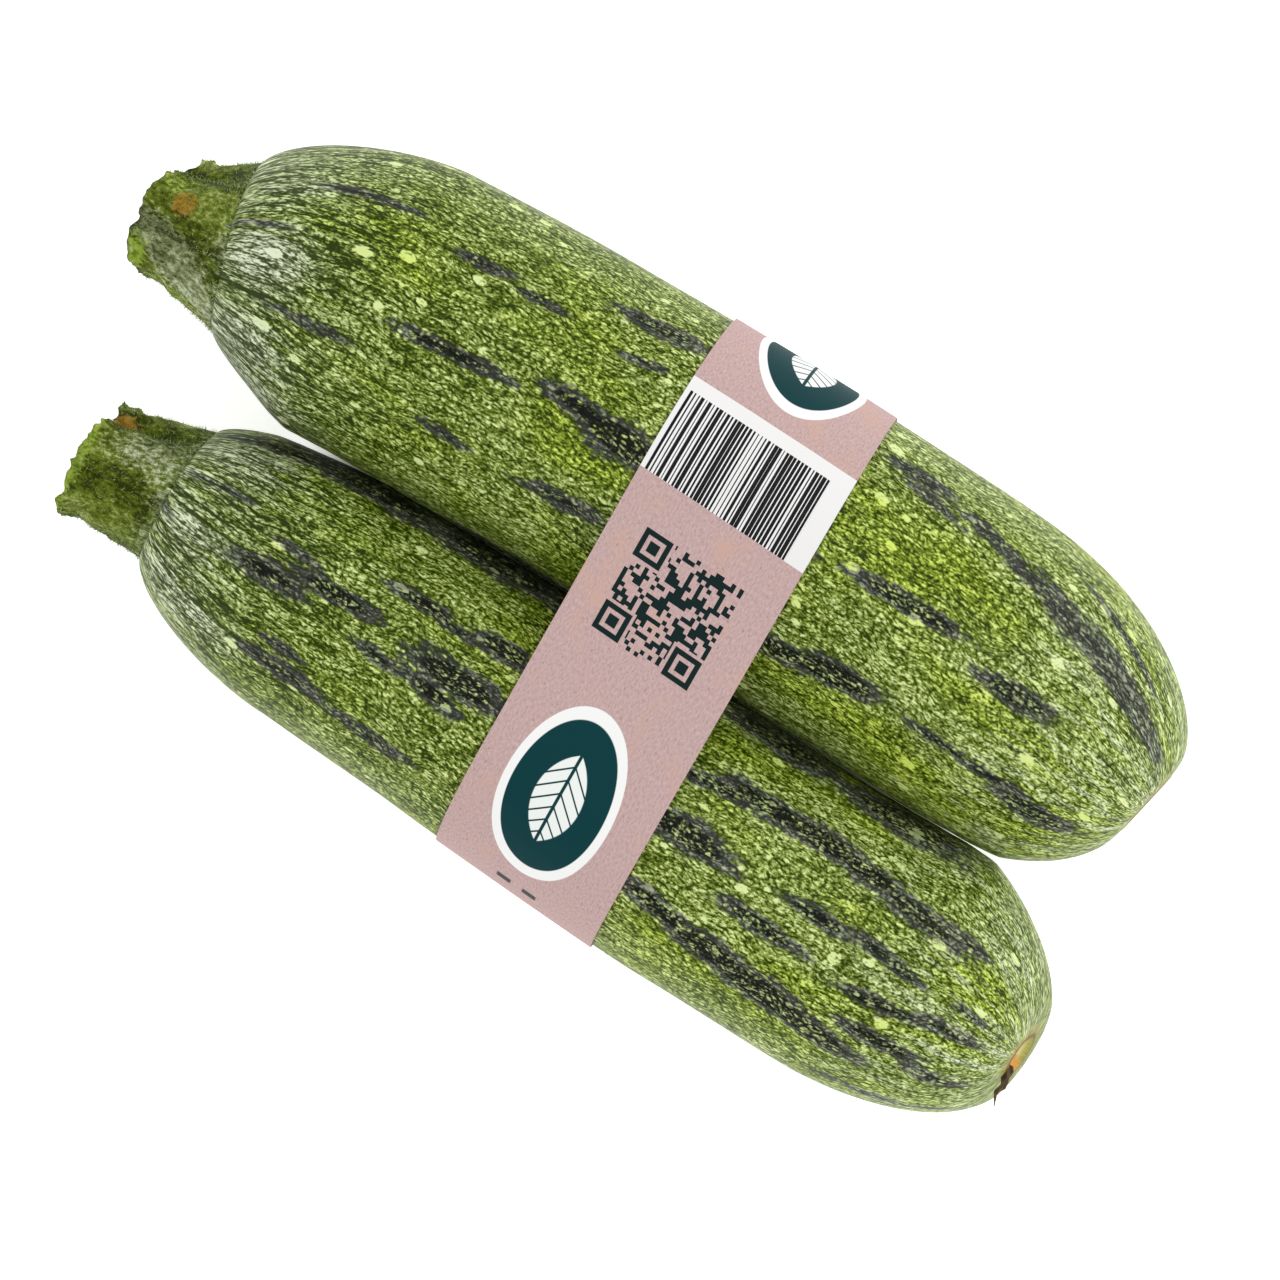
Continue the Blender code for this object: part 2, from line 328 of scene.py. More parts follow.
def unevenness(surface, x):
    """Swell and faint ribs of the body's skin at x, in metres, fading out under the band."""
    middle, half = band_span()
    clear = abs(x - middle) - half
    free = float(smooth((clear - BAND_CLEAR) / BAND_EASE))
    swell, facing = cheek(surface, x)
    waves = 0.45 * surface.noise(x, 0.035, 1.1) + 0.22 * surface.noise(x, 0.012, 3.4) - 0.15
    return waves * MM * free * (1.0 - 0.85 * facing) + swell * facing


def cheek(surface, x):
    """Extra radius that fills about half the gap at x, and how far each point faces that gap."""
    y, z, radius = surface.fruit.outline.at_x(x)
    other_y, other_z, other_radius = surface.fruit.neighbour.at_x(x)
    gap = math.hypot(other_y - y, other_z - z) - radius - other_radius
    towards = math.atan2(other_z - z, other_y - y)
    share = float(smooth((x - CHEEK_FROM) / CHEEK_FADE) * smooth((CHEEK_TO - x) / CHEEK_FADE))
    away = (surface.turn - towards + math.pi) % (2 * math.pi) - math.pi
    tuck = sum(depth * float(smooth((x - start) / (full - start))) for start, full, depth in TUCKS)
    swell = min(max(gap / 2 - CHEEK_CLEAR, 0.0), CHEEK_MOST) + tuck
    swell = min(swell, max(gap / 2 - CHEEK_TOUCH, 0.0)) * share
    return swell, np.exp(-(away / CHEEK_SPREAD) ** 2)


def add_body(surface, neck):
    """Shoulder out of the neck, barrel and round blossom end; returns the skin's length."""
    fruit = surface.fruit
    known = fruit.outline.rings
    barrel_x = fruit.outline.cut_x + fruit.shoulder_reach
    known = known[known[:, 0] > barrel_x - 0.5 * MM]
    known[-1, 3] = fruit.scar_radius
    barrel = evenly(curve_through(known, 12), ALONG_STEP)
    start_x, start_y, start_z, start_r = barrel[0]
    rings = []
    count = int(1.15 * (start_x - neck[0].mean()) / ALONG_STEP)
    power = fruit.shoulder_power
    for i in range(count):
        share = (i / count) ** 1.5
        rise = (1.0 - (1.0 - share) ** power) ** (1.0 / power)
        xs = neck[0] + (start_x - neck[0]) * share
        lobes = 1.0 + 0.03 * (2 * surface.ridges - 1) * rise * (1.0 - share) ** 2
        uneven = unevenness(surface, float(xs.mean())) * share
        crease = 0.35 * MM * math.exp(-(i / 1.6) ** 2)
        ys = neck[1] + (start_y + start_r * surface.cos - neck[1]) * rise
        zs = neck[2] + (start_z + start_r * surface.sin - neck[2]) * rise
        axis_y = ys.mean()
        axis_z = zs.mean()
        rings.append((xs, axis_y + (ys - axis_y) * lobes + (uneven - crease) * surface.cos,
                      axis_z + (zs - axis_z) * lobes + (uneven - crease) * surface.sin))
    for x, y, z, radius in barrel:
        radii = radius + unevenness(surface, x)
        to_tip = float(np.clip(1.0 - (fruit.outline.tip_x - x) / SCAR_BEND, 0.0, 1.0))
        slope = fruit.scar_turn * surface.cos - fruit.scar_lift * surface.sin
        rings.append((x + slope * radii * to_tip ** 4,
                      y + fruit.scar_side * to_tip ** 3 + radii * surface.cos,
                      z + radii * surface.sin))
    along = np.zeros(ROUND_POINTS)
    for i, ring in enumerate(rings):
        if i > 0:
            along = along + np.sqrt(sum((a - b) ** 2 for a, b in zip(ring, rings[i - 1])))
        surface.add(*ring, along)
    return along, rings[-1]


def add_scar(surface, along, edge):
    """Blossom scar: a faint rim, then a shallow wrinkled dish."""
    fruit = surface.fruit
    xs, ys, zs = edge
    middle_y = ys.mean()
    middle_z = zs.mean()
    middle_x = xs.mean()
    for i in range(1, SCAR_RINGS + 1):
        share = 1.0 - i / (SCAR_RINGS + 0.6)
        dish = SCAR_DISH * (1.0 - share ** 4)
        rim = SCAR_RIM * math.exp(-((share - 0.9) / 0.08) ** 2)
        wrinkle = SCAR_WRINKLE * share * np.cos(surface.turn * 17 + fruit.seed) * (1.0 - share)
        surface.add(middle_x + (xs - middle_x) * share + rim - dish + wrinkle,
                    middle_y + (ys - middle_y) * share, middle_z + (zs - middle_z) * share,
                    along + fruit.scar_radius * (1 - share), scar=1.0)


def build_fruit(fruit):
    """One closed mesh with the grown coordinate and the zone masks as attributes."""
    surface = Surface(fruit)
    neck = neck_ring(surface)
    add_stalk(surface, neck)
    along, edge = add_body(surface, neck)
    add_scar(surface, along, edge)
    return loft(surface, along / MM)


def known_radius(fruit):
    """The even cylinder on which the skin pattern is laid out."""
    return float(fruit.outline.rings[:, 3].max())


def loft(surface, scar_at):
    """Join the rings, close both ends with a fan and store the masks on the vertices.

    scar_at is how far from the neck the scar begins, for each point of a ring.
    """
    fruit = surface.fruit
    count = ROUND_POINTS
    coords = np.vstack(surface.coords)
    grown = np.vstack(surface.grown)
    masks = {name: np.concatenate(values) for name, values in surface.masks.items()}
    masks["to_tip"] = np.tile(scar_at, len(surface.coords)) - grown[:, 0]
    total = len(coords)
    faces = []
    for row in range(total // count - 1):
        base = row * count
        for k in range(count):
            after = (k + 1) % count
            faces.append((base + k, base + count + k, base + count + after, base + after))
    for start, flip in ((0, False), (total - count, True)):
        middle = len(coords)
        coords = np.vstack([coords, coords[start:start + count].mean(axis=0)])
        grown = np.vstack([grown, (grown[start][0], 0.0, 0.0)])
        masks = {name: np.append(values, values[start]) for name, values in masks.items()}
        for k in range(count):
            after = (k + 1) % count
            face = (start + k, start + after, middle)
            faces.append(face[::-1] if flip else face)
    mesh = bpy.data.meshes.new(fruit.node + "_fine")
    mesh.from_pydata(coords.tolist(), [], faces)
    if mesh_volume(mesh) < 0:
        mesh.flip_normals()
    mesh.shade_smooth()
    store(mesh, "grown", "FLOAT_VECTOR", grown)
    for name, values in masks.items():
        store(mesh, name, "FLOAT", values)
    place = (coords[:, 0] - fruit.outline.cut_x) / MM
    for name, marks in fruit.marks.items():
        store(mesh, name, "FLOAT", marks_depth(fruit, grown, place, marks))
    return add_object(fruit.node + "_fine", mesh)


def add_object(name, data):
    """A new object at the origin, linked to the scene."""
    obj = bpy.data.objects.new(name, data)
    bpy.context.scene.collection.objects.link(obj)
    return obj


def mesh_volume(mesh):
    """Signed volume, positive when the faces point outwards."""
    mesh.calc_loop_triangles()
    corners = np.array([v.co for v in mesh.vertices])
    tris = np.array([t.vertices for t in mesh.loop_triangles])
    a, b, c = (corners[tris[:, k]] for k in range(3))
    return float(np.einsum("ij,ij->i", a, np.cross(b, c)).sum() / 6)


def store(mesh, name, kind, values):
    """Store one value for each vertex."""
    layer = mesh.attributes.new(name, kind, "POINT")
    field = "vector" if kind == "FLOAT_VECTOR" else "value"
    layer.data.foreach_set(field, np.asarray(values, dtype=np.float32).ravel())


def marks_depth(fruit, grown, place, marks):
    """How deep each vertex lies in the given marks: their strength in the middle, 0 outside."""
    turn = np.degrees(np.arctan2(grown[:, 2], grown[:, 1]))
    millimetres = math.pi / 180 * known_radius(fruit) / MM
    depth = np.zeros(len(grown))
    for middle, angle, half_length, half_width, slope, strength in marks:
        du = place - middle
        dv = ((turn - angle + 180) % 360 - 180) * millimetres - slope * du
        inside = 1.5 - np.sqrt((du / half_length) ** 2 + (dv / half_width) ** 2)
        depth = np.maximum(depth, strength * np.clip(inside, 0.0, 1.0))
    return depth


def seeded_streaks(seed, count):
    """Further streaks on the sides that lie away, so that the pattern goes all round."""
    rng = np.random.default_rng(seed)
    out = []
    for _ in range(count):
        out.append((rng.uniform(25, 172), rng.uniform(150, 380), rng.uniform(5, 13),
                    rng.uniform(0.9, 2.4), rng.uniform(-0.08, 0.08), rng.uniform(0.9, 1.2)))
    return out


# ---- node helpers -----------------------------------------------------------------------------

class Nodes:
    """Short hand for wiring a node tree."""

    def __init__(self, tree):
        self.tree = tree

    def new(self, kind, **settings):
        node = self.tree.nodes.new(kind)
        for name, value in settings.items():
            setattr(node, name, value)
        return node

    def fill(self, node, inputs):
        """Put the inputs of a node by name or number, each a socket to link or a constant."""
        for name, value in inputs.items():
            self.put(node.inputs[name], value)
        return node

    def make(self, kind, inputs, **settings):
        return self.fill(self.new(kind, **settings), inputs)

    def put(self, socket, value):
        if isinstance(value, bpy.types.NodeSocket):
            self.tree.links.new(value, socket)
        elif value is not None:
            socket.default_value = value

    def math(self, operation, a, b=None, c=None, clamp=False):
        node = self.new("ShaderNodeMath", operation=operation, use_clamp=clamp)
        for socket, value in zip(node.inputs, (a, b, c)):
            self.put(socket, value)
        return node.outputs[0]

    def times(self, a, b):
        return self.math("MULTIPLY", a, b)

    def plus(self, a, b, clamp=False):
        return self.math("ADD", a, b, clamp=clamp)

    def minus(self, a, b):
        return self.math("SUBTRACT", a, b)

    def most(self, a, b):
        return self.math("MAXIMUM", a, b)

    def size(self, a):
        return self.math("ABSOLUTE", a)

    def times_plus(self, a, b, c):
        return self.math("MULTIPLY_ADD", a, b, c)

    def vector(self, operation, a, b=None, scale=None):
        node = self.new("ShaderNodeVectorMath", operation=operation)
        self.put(node.inputs[0], a)
        self.put(node.inputs[1], b)
        if scale is not None:
            self.put(node.inputs["Scale"], scale)
        return node.outputs["Value" if operation == "LENGTH" else "Vector"]

    def split(self, vector):
        node = self.new("ShaderNodeSeparateXYZ")
        self.put(node.inputs[0], vector)
        return node.outputs[0], node.outputs[1], node.outputs[2]

    def join(self, x, y, z=0.0):
        node = self.new("ShaderNodeCombineXYZ")
        for socket, value in zip(node.inputs, (x, y, z)):
            self.put(socket, value)
        return node.outputs[0]

    def step(self, value, low, high):
        """0 at low, 1 at high, with a soft step between; low may be above high."""
        node = self.new("ShaderNodeMapRange", interpolation_type="SMOOTHSTEP")
        rising = not (isinstance(low, float) and isinstance(high, float) and low > high)
        ends = (low, high, 0.0, 1.0) if rising else (high, low, 1.0, 0.0)
        self.put(node.inputs["Value"], value)
        for name, end in zip(("From Min", "From Max", "To Min", "To Max"), ends):
            self.put(node.inputs[name], end)
        return node.outputs["Result"]

    def scaled(self, node, place, per_mm):
        """Feed a texture with a place stretched by the cells per mm along each axis."""
        return self.fill(node, {"Vector": self.vector("MULTIPLY", place, per_mm), "Scale": 1.0})

    def noise(self, place, per_mm, detail=2.0, rough=0.5, colour=False):
        node = self.scaled(self.new("ShaderNodeTexNoise", noise_dimensions="3D"), place, per_mm)
        self.fill(node, {"Detail": detail, "Roughness": rough})
        return node.outputs["Color" if colour else "Fac"]

    def cells(self, place, per_mm):
        """Distance to the nearest cell's centre, and that cell's random colour."""
        node = self.new("ShaderNodeTexVoronoi", voronoi_dimensions="3D", feature="F1")
        self.scaled(node, place, per_mm)
        return node.outputs["Distance"], node.outputs["Color"]

    def walls(self, place, per_mm):
        """Distance to the nearest wall between cells."""
        node = self.new("ShaderNodeTexVoronoi", voronoi_dimensions="3D",
                        feature="DISTANCE_TO_EDGE")
        return self.scaled(node, place, per_mm).outputs["Distance"]

    def sway(self, value, weight, base):
        """base, moved by weight times how far a 0..1 value lies from its middle."""
        return self.times_plus(self.minus(value, 0.5), weight, base)

    def bump(self, height, strength, distance):
        inputs = {"Strength": strength, "Distance": distance, "Height": height}
        return self.make("ShaderNodeBump", inputs).outputs[0]

    def ramp(self, value, stops):
        node = self.new("ShaderNodeValToRGB")
        self.put(node.inputs[0], value)
        elements = node.color_ramp.elements
        while len(elements) < len(stops):
            elements.new(0.5)
        for element, (place, colour) in zip(elements, stops):
            element.position = place
            element.color = colour
        return node.outputs["Color"]

    def mix(self, share, a, b, blend="MIX"):
        return self.make("ShaderNodeMix", {"Factor": share, 6: a, 7: b}, data_type="RGBA",
                         blend_type=blend).outputs[2]

    def attribute(self, name, output="Fac"):
        node = self.new("ShaderNodeAttribute", attribute_name=name)
        return node.outputs[output]


def new_material(name):
    """A material with its shader and a helper for its tree."""
    material = bpy.data.materials.new(name)
    material.use_nodes = True
    return material, Nodes(material.node_tree), material.node_tree.nodes["Principled BSDF"]


def new_group(name, inputs, outputs):
    """An empty shader node group with its sockets; returns it with its ends and a helper."""
    tree = bpy.data.node_groups.new(name, "ShaderNodeTree")
    for label, kind, start in inputs:
        socket = tree.interface.new_socket(label, in_out="INPUT", socket_type=kind)
        if start is not None:
            socket.default_value = start
    for label, kind in outputs:
        tree.interface.new_socket(label, in_out="OUTPUT", socket_type=kind)
    n = Nodes(tree)
    return tree, n, n.new("NodeGroupInput").outputs, n.new("NodeGroupOutput").inputs


FLOAT = "NodeSocketFloat"
VECTOR = "NodeSocketVector"
COLOUR = "NodeSocketColor"


# Cells per mm of the skin's patterns: along the fruit, then across it.
WANDER_CELLS = (0.11, 0.11, 0.11)
FLECK_CELLS = (0.86, 1.40, 1.40)
NET_CELLS = (0.55, 0.95, 0.95)
FINE_CELLS = (1.5, 3.0, 3.0)
ROW_CELLS = (0.30, 1.15, 1.15)
CLOUD_CELLS = (0.07, 0.20, 0.20)
SPOT_CELLS = (0.17, 0.25, 0.25)
FURROW_CELLS = (0.055, 0.62, 0.62)
LUSH_CELLS = (0.035, 0.09, 0.09)
TORN_CELLS = (0.14, 0.42, 0.42)
LINE_CELLS = (0.10, 0.75, 0.75)

# How far each pattern moves the skin's tone, which runs from 0, dark, to 1, pale.
BASE_TONE = 0.17
FLECK_LEAST = 0.10
FLECK_WEIGHT = 0.38
NET_WEIGHT = 0.32
FINE_WEIGHT = 2.5
ROW_WEIGHT = 1.1
CLOUD_WEIGHT = 0.4
SPOT_WEIGHT = 0.75
PALER_TO_TIP = 0.09


def skin_group():
    """Flecked courgette skin on the grown coordinate, in millimetres."""
    tree, n, given, out = new_group(
        "flecked_skin",
        [("Grown", VECTOR, None), ("Dark", FLOAT, 0.0), ("Frost And Sheen", FLOAT, 0.0),
         ("Seed", VECTOR, None), ("To Tip", FLOAT, 100.0)],
        [("Color", COLOUR), ("Roughness", FLOAT), ("Height", FLOAT)])
    along, aside, down = n.split(given["Grown"])
    # Near the neck and the scar the pattern is drawn out along the fruit.
    to_tip = given["To Tip"]
    early = n.math("EXPONENT", n.times(along, -1.0 / 14.0))
    late = n.math("EXPONENT", n.times(to_tip, -1.0 / 11.0))
    drawn = n.times_plus(early, 9.0, along)
    drawn = n.times_plus(late, -7.0, drawn)
    placed = n.vector("ADD", n.join(drawn, aside, down), given["Seed"])
    wander = n.noise(placed, WANDER_CELLS, 1.0, colour=True)
    wander = n.vector("SUBTRACT", wander, (0.5, 0.5, 0.5))
    p = n.vector("ADD", placed, n.vector("MULTIPLY", wander, (1.2, 2.2, 2.2)))

    # Small round pale flecks between thin dark lines, in loose rows along the fruit.
    distance, cell = n.cells(p, FLECK_CELLS)
    chance, chance_2, _ = n.split(cell)
    dome = n.step(distance, 0.62, 0.10)
    fleck = n.times(dome, n.times_plus(chance, FLECK_WEIGHT, FLECK_LEAST))
    crack = n.step(n.walls(p, NET_CELLS), 0.0, 0.16)
    fine = n.noise(p, FINE_CELLS, 2.0, 0.6)
    rows = n.noise(p, ROW_CELLS, 2.0, 0.6)
    clouds = n.noise(p, CLOUD_CELLS, 2.0, 0.6)
    tone = n.plus(n.times_plus(crack, NET_WEIGHT, fleck), BASE_TONE)
    tone = n.sway(rows, ROW_WEIGHT, tone)
    tone = n.sway(fine, FINE_WEIGHT, tone)
    tone = n.sway(clouds, CLOUD_WEIGHT, tone)
    tone = n.times_plus(n.step(along, 40.0, 165.0), PALER_TO_TIP, tone)

    # Scattered larger pale spots.
    far, spot_cell = n.cells(p, SPOT_CELLS)
    spot_chance, _, _ = n.split(spot_cell)
    spot_size = n.times_plus(spot_chance, 0.26, -0.02)
    spots = n.step(n.minus(far, spot_size), 0.035, -0.05)
    tone = n.times_plus(spots, SPOT_WEIGHT, tone)

    # Long thin dark lines, plainest near the neck.
    furrow = n.noise(p, FURROW_CELLS, 1.0)
    furrow = n.step(n.size(n.minus(furrow, 0.5)), 0.05, 0.012)
    reach = n.times_plus(n.step(along, 60.0, 6.0), 0.36, 0.16)
    tone = n.minus(tone, n.times(furrow, reach))

    ground = n.ramp(tone, [(0.0, linear(38, 52, 0)), (0.25, linear(77, 95, 10)),
                           (0.48, linear(114, 131, 50)), (0.72, linear(162, 178, 104)),
                           (1.0, linear(214, 228, 158))])
    lush = n.noise(p, LUSH_CELLS, 2.0)
    ground = n.mix(n.step(lush, 0.45, 0.68), ground,
                   n.mix(1.0, ground, linear(248, 252, 170), "MULTIPLY"))

    # Near-black streaks with torn edges and dim flecks inside; along the small fruit's side
    # towards the large one they are painted shade of the valley between the fruits.
    drift = n.noise(p, TORN_CELLS, 3.0, 0.65)
    depth = n.sway(drift, 1.7, given["Dark"])
    depth = n.sway(fine, 1.2, depth)
    depth = n.times_plus(n.times(chance_2, dome), -0.45, depth)
    black = n.step(given["Dark"], 0.85, 1.05)
    through = n.step(n.times(dome, n.plus(chance, 0.25)), 0.36, 0.90)
    through = n.times(through, n.times_plus(black, -0.35, -0.15))
    streak = n.times(n.step(depth, 0.30, 0.60), n.plus(through, 1.0))
    shade = n.ramp(tone, [(0.20, linear(12, 14, 10)), (0.50, linear(36, 40, 28)),
                          (0.74, linear(96, 106, 68)), (1.0, linear(170, 182, 128))])
    grey = n.ramp(tone, [(0.15, linear(44, 46, 40)), (0.60, linear(76, 78, 70)),
                         (1.0, linear(140, 146, 122))])
    shade = n.mix(black, grey, shade)
    colour = n.mix(streak, ground, shade)

    # Whitish bloom drawn out in fine lines over the shoulder, fainter at the blossom end: partly
    # real bloom, partly a painted sheen where these ends catch the light.
    lines = n.noise(p, LINE_CELLS, 2.0, 0.6)
    bloom_and_sheen = n.times(n.step(along, 38.0, 2.0), n.step(lines, 0.34, 0.52))
    tip_bloom_and_sheen = n.times(n.step(to_tip, 52.0, 8.0), n.step(lines, 0.44, 0.66))
    bloom_and_sheen_veil = n.most(n.times(bloom_and_sheen, 0.42), n.times(tip_bloom_and_sheen, 0.6))
    bloom_and_sheen_veil = n.most(bloom_and_sheen_veil, n.times(given["Frost And Sheen"], n.step(lines, 0.30, 0.46)))
    tone = n.sway(lines, 0.9, tone)
    pale = n.ramp(tone, [(0.10, linear(62, 72, 36)), (0.45, linear(140, 150, 114)),
                         (0.85, linear(224, 232, 204))])
    bloom_and_sheen_veil = n.times(bloom_and_sheen_veil, n.times_plus(streak, -0.65, 1.0))
    colour = n.mix(bloom_and_sheen_veil, colour, pale)

    # Ochre skin and a thin dark line round the blossom scar.
    ochre = n.step(n.sway(rows, 8.0, to_tip), 3.4, 0.6)
    colour = n.mix(n.times(ochre, 0.75), colour, linear(150, 132, 52))
    colour = n.mix(n.times(n.step(to_tip, 0.8, 0.3), 0.7), colour, linear(84, 54, 22))

    # The belly that lay on the ground is plainer.
    belly = n.times(n.step(down, -6.0, -20.0), 0.55)
    colour = n.mix(belly, colour, n.ramp(lush, [(0.3, linear(84, 104, 34)),
                                                (0.7, linear(128, 148, 70))]))

    n.put(out["Color"], colour)
    n.put(out["Roughness"], n.times_plus(fine, 0.16, 0.38))
    n.put(out["Height"], n.times_plus(rows, 0.4, n.times(dome, 0.3)))
    return tree


TISSUE_CLOUD_CELLS = (0.28, 0.22, 0.22)
TISSUE_GRAIN_CELLS = (0.9, 0.75, 0.75)
CORK_CELLS = (1.3, 0.8, 0.8)
NECK_EDGE_CELLS = (0.5, 0.5, 0.5)


def stalk_group():
    """Hairy ridged stalk tissue, lime and torn at the cut, with corky brown marks."""
    tree, n, given, out = new_group(
        "stalk_tissue", [("Grown", VECTOR, None), ("Cut", FLOAT, 0.0), ("Ridge", FLOAT, 0.5),
                         ("Cork", FLOAT, 0.0), ("Frost And Sheen", FLOAT, 0.0), ("Lime", FLOAT, 0.0),
                         ("Seed", VECTOR, None)],
        [("Color", COLOUR), ("Height", FLOAT)])
    p = n.vector("ADD", given["Grown"], given["Seed"])
    clouds = n.noise(p, TISSUE_CLOUD_CELLS, 2.0, 0.6)
    grain = n.noise(p, TISSUE_GRAIN_CELLS, 3.0, 0.75)
    tone = n.sway(clouds, 0.8, 0.46)
    tone = n.sway(grain, 1.1, tone)
    # Paler on the ridges and darker in the grooves between them: painted shade.
    tone = n.sway(given["Ridge"], 0.22, tone)
    colour = n.ramp(tone, [(0.28, linear(44, 54, 2)), (0.42, linear(78, 92, 12)),
                           (0.54, linear(98, 112, 32)), (0.66, linear(130, 144, 66)),
                           (0.84, linear(184, 196, 128))])
    rough = n.times(n.minus(grain, 0.5), 2.2)
    # Whitish down, partly a painted sheen.
    frost_and_sheen = n.step(n.plus(given["Frost And Sheen"], rough), 0.25, 0.80)
    colour = n.mix(n.times(frost_and_sheen, 0.8), colour,
                   n.ramp(tone, [(0.25, linear(70, 78, 42)), (0.50, linear(134, 142, 104)),
                                 (0.72, linear(206, 212, 186))]))
    lime = n.step(n.plus(given["Lime"], rough), 0.30, 0.85)
    colour = n.mix(lime, colour, n.ramp(grain, [(0.3, linear(88, 110, 10)),
                                                (0.7, linear(164, 186, 76))]))
    cork = n.step(n.plus(given["Cork"], rough), 0.35, 0.95)
    colour = n.mix(n.times(cork, 0.85), colour,
                   n.ramp(grain, [(0.3, linear(104, 78, 8)), (0.7, linear(172, 130, 46))]))
    flesh = n.ramp(grain, [(0.3, linear(150, 172, 84)), (0.7, linear(214, 222, 166))])
    colour = n.mix(n.times(given["Cut"], 0.85), colour, flesh)
    n.put(out["Color"], colour)
    n.put(out["Height"], tone)
    return tree


def scar_group():
    """Corky blossom scar: cream middle, brown edge, an orange fleck."""
    tree, n, given, out = new_group(
        "blossom_scar", [("Grown", VECTOR, None), ("Seed", VECTOR, None), ("To Tip", FLOAT, 0.0),
                         ("Fleck", FLOAT, 0.0)],
        [("Color", COLOUR)])
    p = n.vector("ADD", given["Grown"], given["Seed"])
    grain = n.noise(p, CORK_CELLS, 3.0, 0.7)
    inward = n.times(given["To Tip"], -1.0)
    mottle = n.sway(grain, 3.0, inward)
    colour = n.ramp(n.times(mottle, 0.16),
                    [(0.0, linear(140, 138, 66)), (0.30, linear(196, 188, 116)),
                     (0.75, linear(218, 208, 146)), (1.0, linear(160, 122, 62))])
    fleck = n.step(n.sway(grain, 1.5, given["Fleck"]), 0.3, 0.7)
    colour = n.mix(fleck, colour, linear(206, 150, 70))
    n.put(out["Color"], colour)
    return tree


def skin_material(fruit, groups):
    """The whole fruit's material: skin, stalk and scar by the masks on its vertices."""
    material, n, shader = new_material(fruit.node + "_skin")
    grown = n.attribute("grown", "Vector")
    seed = (fruit.seed * 31.0, fruit.seed * 17.0, fruit.seed * 23.0)
    settings = {
        "flecked_skin": {"Dark": n.attribute("dark"), "Frost And Sheen": n.attribute("frost_and_sheen"),
                         "To Tip": n.attribute("to_tip")},
        "stalk_tissue": {"Cut": n.attribute("cut"), "Ridge": n.attribute("ridge"),
                         "Cork": n.attribute("cork"), "Frost And Sheen": n.attribute("frost_and_sheen"),
                         "Lime": n.attribute("lime")},
        "blossom_scar": {"To Tip": n.attribute("to_tip"), "Fleck": n.attribute("cork")},
    }
    parts = []
    for name, group in groups.items():
        inputs = {"Grown": grown, "Seed": seed, **settings[name]}
        parts.append(n.make("ShaderNodeGroup", inputs, node_tree=group).outputs)
    skin, tissue, scar_cork = parts
    ragged = n.noise(grown, NECK_EDGE_CELLS, 2.0)
    edge = n.sway(ragged, 8.0, n.attribute("neck"))
    stalk = n.step(edge, 1.2, -0.8)
    scar = n.attribute("scar")
    colour = n.mix(stalk, skin["Color"], tissue["Color"])
    colour = n.mix(scar, colour, scar_cork["Color"])
    rough = n.plus(skin["Roughness"], n.times(stalk, 0.2))
    rough = n.plus(rough, n.times(scar, 0.35), clamp=True)
    height = n.plus(n.times(skin["Height"], n.minus(1.0, stalk)),
                    n.times(tissue["Height"], n.times(stalk, 2.2)))
    n.fill(shader, {"Base Color": colour, "Roughness": rough,
                    "Normal": n.bump(height, 0.35, 0.2 * MM), "Specular IOR Level": 0.10})
    return material


# ---- bristles on the stalks -------------------------------------------------------------------

def bristle_tree():
    """Scatter short three-sided bristles over the stalk part of a fruit."""
    tree = bpy.data.node_groups.new("stalk_bristles", "GeometryNodeTree")
    face = tree.interface
    face.new_socket("Surface", in_out="INPUT", socket_type="NodeSocketGeometry")
    for label, start in (("Density", 1.0), ("Length", 1.0), ("Thickness", 0.1), ("Lean", 0.5)):
        face.new_socket(label, in_out="INPUT", socket_type=FLOAT).default_value = start
    face.new_socket("Seed", in_out="INPUT", socket_type="NodeSocketInt").default_value = 0
    face.new_socket("Material", in_out="INPUT", socket_type="NodeSocketMaterial")
    face.new_socket("Bristles", in_out="OUTPUT", socket_type="NodeSocketGeometry")
    n = Nodes(tree)
    given = n.new("NodeGroupInput").outputs
    out = n.new("NodeGroupOutput").inputs

    def named(name):
        return n.make("GeometryNodeInputNamedAttribute", {"Name": name},
                      data_type="FLOAT").outputs["Attribute"]

    on_stalk = n.times(n.math("LESS_THAN", named("neck"), 0.5),
                       n.math("LESS_THAN", named("cut"), 0.5))
    density = n.times(given["Density"], on_stalk)
    scatter = n.make("GeometryNodeDistributePointsOnFaces",
                     {"Mesh": given["Surface"], "Density": density, "Seed": given["Seed"]},
                     distribute_method="RANDOM")
    cone = n.make("GeometryNodeMeshCone",
                  {"Vertices": 3, "Radius Top": 0.0, "Radius Bottom": given["Thickness"],
                   "Depth": given["Length"]}, fill_type="TRIANGLE_FAN")
    size = n.make("FunctionNodeRandomValue", {2: 0.4, 3: 1.0, "Seed": given["Seed"]},
                  data_type="FLOAT")
    place = n.make("GeometryNodeInstanceOnPoints",
                   {"Points": scatter.outputs["Points"], "Instance": cone.outputs["Mesh"],
                    "Rotation": scatter.outputs["Rotation"], "Scale": size.outputs[1]})
    lean = n.make("FunctionNodeRandomValue",
                  {0: n.vector("SCALE", (-1.0, -1.0, -1.0), None, given["Lean"]),
                   1: n.vector("SCALE", (1.0, 1.0, 1.0), None, given["Lean"]),
                   "Seed": given["Seed"]}, data_type="FLOAT_VECTOR")
    turn = n.make("GeometryNodeRotateInstances", {"Instances": place.outputs["Instances"],
                                                  "Rotation": lean.outputs[0]})
    real = n.make("GeometryNodeRealizeInstances", {"Geometry": turn.outputs["Instances"]})
    finish = n.make("GeometryNodeSetMaterial", {"Geometry": real.outputs["Geometry"],
                                                "Material": given["Material"]})
    n.put(out["Bristles"], finish.outputs["Geometry"])
    return tree


